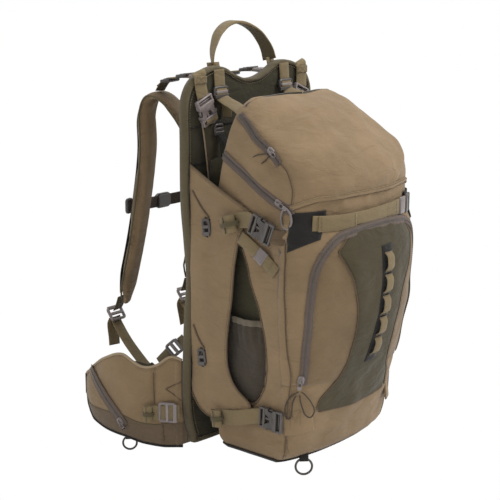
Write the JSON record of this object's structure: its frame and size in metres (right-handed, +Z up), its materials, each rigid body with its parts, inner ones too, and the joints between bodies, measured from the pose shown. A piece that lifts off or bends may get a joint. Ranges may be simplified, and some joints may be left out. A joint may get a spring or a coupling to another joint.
{
  "type": "hunting backpack",
  "caption": "Framed hunting backpack with a zipped lid, arched front pocket, side wings, mesh side pockets, padded shoulder straps and a wrap-round hip belt with pockets.",
  "frame": {"origin": "middle of the bag's flat base", "axes": "+Z up, -Y the outer face with the front pocket, +Y towards the wearer, X left to right with the mirror plane at X = 0"},
  "size_m": [0.398, 0.5286, 0.7073],
  "materials": {
    "pack_fabric": "brushed tan woven polyester",
    "olive_fabric": "dark olive brown woven polyester",
    "pad_fabric": "foam pad in olive spacer cloth",
    "webbing": "khaki nylon webbing",
    "dark_webbing": "dark brown nylon webbing",
    "mesh": "charcoal stretch mesh",
    "stay_metal": "bare aluminium bar",
    "black_plastic": "moulded acetal, satin black",
    "grey_plastic": "moulded acetal, warm grey",
    "cord": "braided polyester cord"
  },
  "bodies": {
    "pack": {"main_bag": "pack_fabric", "pocket_rim": "pack_fabric", "left_wing": "pack_fabric", "right_wing": "pack_fabric", "left_shoulder_strap": "pack_fabric", "right_shoulder_strap": "pack_fabric", "frame_sheet": "olive_fabric", "bag_back_panel": "olive_fabric", "back_pad": "pad_fabric", "lumbar_pad": "pad_fabric", "front_strap": "webbing", "left_lower_webbing": "webbing", "right_lower_webbing": "webbing", "left_load_lifter": "webbing", "right_load_lifter": "webbing", "left_mesh_pocket": "mesh", "right_mesh_pocket": "mesh", "left_stay": "stay_metal", "right_stay": "stay_metal", "left_lid_ladder_lock": "black_plastic", "right_lid_ladder_lock": "black_plastic", "left_lifter_buckle": "black_plastic", "right_lifter_buckle": "black_plastic", "left_upper_buckle_socket": "black_plastic", "left_lower_buckle_socket": "black_plastic", "right_upper_buckle_socket": "black_plastic", "right_lower_buckle_socket": "black_plastic", "left_strap_adjuster": "grey_plastic", "right_strap_adjuster": "grey_plastic", "left_top_buckle_socket": "grey_plastic", "right_top_buckle_socket": "grey_plastic"},
    "lid": {"lid": "pack_fabric"},
    "pocket_door": {"pocket_door": "olive_fabric", "daisy_chain": "dark_webbing"},
    "haul_handle": {"haul_handle": "webbing"},
    "sternum_strap": {"sternum_strap": "dark_webbing"},
    "base_ring": {"base_ring": "black_plastic"},
    "pocket_zip_slider": {"pocket_zip_slider": "grey_plastic", "pocket_zip_pull_left": "cord", "pocket_zip_pull_right": "cord"},
    "left_hip_belt": {"left_hip_belt": "pack_fabric", "left_belt_ladder_lock": "grey_plastic", "left_waist_buckle": "black_plastic"},
    "left_belt_ring": {"left_belt_ring": "black_plastic"},
    "left_lid_zip_slider": {"left_lid_zip_slider": "grey_plastic", "lid_zip_pull": "cord"},
    "left_main_zip_slider": {"left_main_zip_slider": "grey_plastic"},
    "left_top_buckle_plug": {"left_top_buckle_plug": "grey_plastic"},
    "left_upper_buckle_plug": {"left_upper_buckle_plug": "black_plastic"},
    "left_lower_buckle_plug": {"left_lower_buckle_plug": "black_plastic"},
    "right_hip_belt": {"right_hip_belt": "pack_fabric", "right_belt_ladder_lock": "grey_plastic", "right_waist_buckle": "black_plastic"},
    "right_belt_ring": {"right_belt_ring": "black_plastic"},
    "right_lid_zip_slider": {"right_lid_zip_slider": "grey_plastic"},
    "right_main_zip_slider": {"right_main_zip_slider": "grey_plastic"},
    "right_top_buckle_plug": {"right_top_buckle_plug": "grey_plastic"},
    "right_upper_buckle_plug": {"right_upper_buckle_plug": "black_plastic"},
    "right_lower_buckle_plug": {"right_lower_buckle_plug": "black_plastic"}
  },
  "joints": [
    {"name": "lid_hinge", "type": "hinge", "parent": "pack", "child": "lid", "pos_m": [0, 0.037, 0.488], "axis": [-1, 0, 0], "range_deg": [0, 40]},
    {"name": "pocket_door_hinge", "type": "hinge", "parent": "pack", "child": "pocket_door", "pos_m": [0, -0.147, 0.142], "axis": [1, 0, 0], "range_deg": [0, 95]},
    {"name": "haul_handle_hinge", "type": "hinge", "parent": "pack", "child": "haul_handle", "pos_m": [0, 0.112, 0.616], "axis": [1, 0, 0], "range_deg": [-45, 45]},
    {"name": "sternum_slide", "type": "slide", "parent": "pack", "child": "sternum_strap", "axis": [0, -0.184, 0.9829], "range_m": [-0.05, 0.05]},
    {"name": "base_ring_swing", "type": "hinge", "parent": "pack", "child": "base_ring", "pos_m": [-0.084, -0.092, 0.0035], "axis": [0.7071, -0.7071, 0], "range_deg": [-50, 50]},
    {"name": "left_hip_belt_fold", "type": "hinge", "parent": "pack", "child": "left_hip_belt", "pos_m": [-0.148, 0.107, 0.07], "axis": [0, 0, -1], "range_deg": [-18, 14]},
    {"name": "left_belt_ring_swing", "type": "hinge", "parent": "left_hip_belt", "child": "left_belt_ring", "pos_m": [-0.182, 0.203, -0.0045], "axis": [0.7071, -0.7071, 0], "range_deg": [-50, 50]},
    {"name": "left_lid_zip_slide", "type": "slide", "parent": "lid", "child": "left_lid_zip_slider", "axis": [0, 0.7961, 0.6051], "range_m": [0, 0.065]},
    {"name": "left_main_zip_slide", "type": "slide", "parent": "pack", "child": "left_main_zip_slider", "axis": [0, 0.8932, 0.4497], "range_m": [0, 0.11]},
    {"name": "left_top_buckle_release", "type": "slide", "parent": "pack", "child": "left_top_buckle_plug", "axis": [0.3788, 0, -0.9255], "range_m": [0, 0.022]},
    {"name": "left_upper_buckle_release", "type": "slide", "parent": "pack", "child": "left_upper_buckle_plug", "axis": [0, 0.9326, 0.361], "range_m": [0, 0.022]},
    {"name": "left_lower_buckle_release", "type": "slide", "parent": "pack", "child": "left_lower_buckle_plug", "axis": [0, 0.9988, 0.0499], "range_m": [0, 0.022]},
    {"name": "right_hip_belt_fold", "type": "hinge", "parent": "pack", "child": "right_hip_belt", "pos_m": [0.148, 0.107, 0.07], "axis": [0, 0, 1], "range_deg": [-18, 14]},
    {"name": "right_belt_ring_swing", "type": "hinge", "parent": "right_hip_belt", "child": "right_belt_ring", "pos_m": [0.182, 0.203, -0.0045], "axis": [0.7071, 0.7071, 0], "range_deg": [-50, 50]},
    {"name": "right_lid_zip_slide", "type": "slide", "parent": "lid", "child": "right_lid_zip_slider", "axis": [0, 0.7961, 0.6051], "range_m": [0, 0.065]},
    {"name": "right_main_zip_slide", "type": "slide", "parent": "pack", "child": "right_main_zip_slider", "axis": [0, 0.8932, 0.4497], "range_m": [0, 0.11]},
    {"name": "right_top_buckle_release", "type": "slide", "parent": "pack", "child": "right_top_buckle_plug", "axis": [-0.3788, 0, -0.9255], "range_m": [0, 0.022]},
    {"name": "right_upper_buckle_release", "type": "slide", "parent": "pack", "child": "right_upper_buckle_plug", "axis": [0, 0.9326, 0.361], "range_m": [0, 0.022]},
    {"name": "right_lower_buckle_release", "type": "slide", "parent": "pack", "child": "right_lower_buckle_plug", "axis": [0, 0.9988, 0.0499], "range_m": [0, 0.022]},
    {"name": "pocket_zip_slide", "type": "slide", "parent": "pack", "child": "pocket_zip_slider", "axis": [-0.05, -0.2099, 0.9764], "range_m": [0, 0.08]}
  ]
}
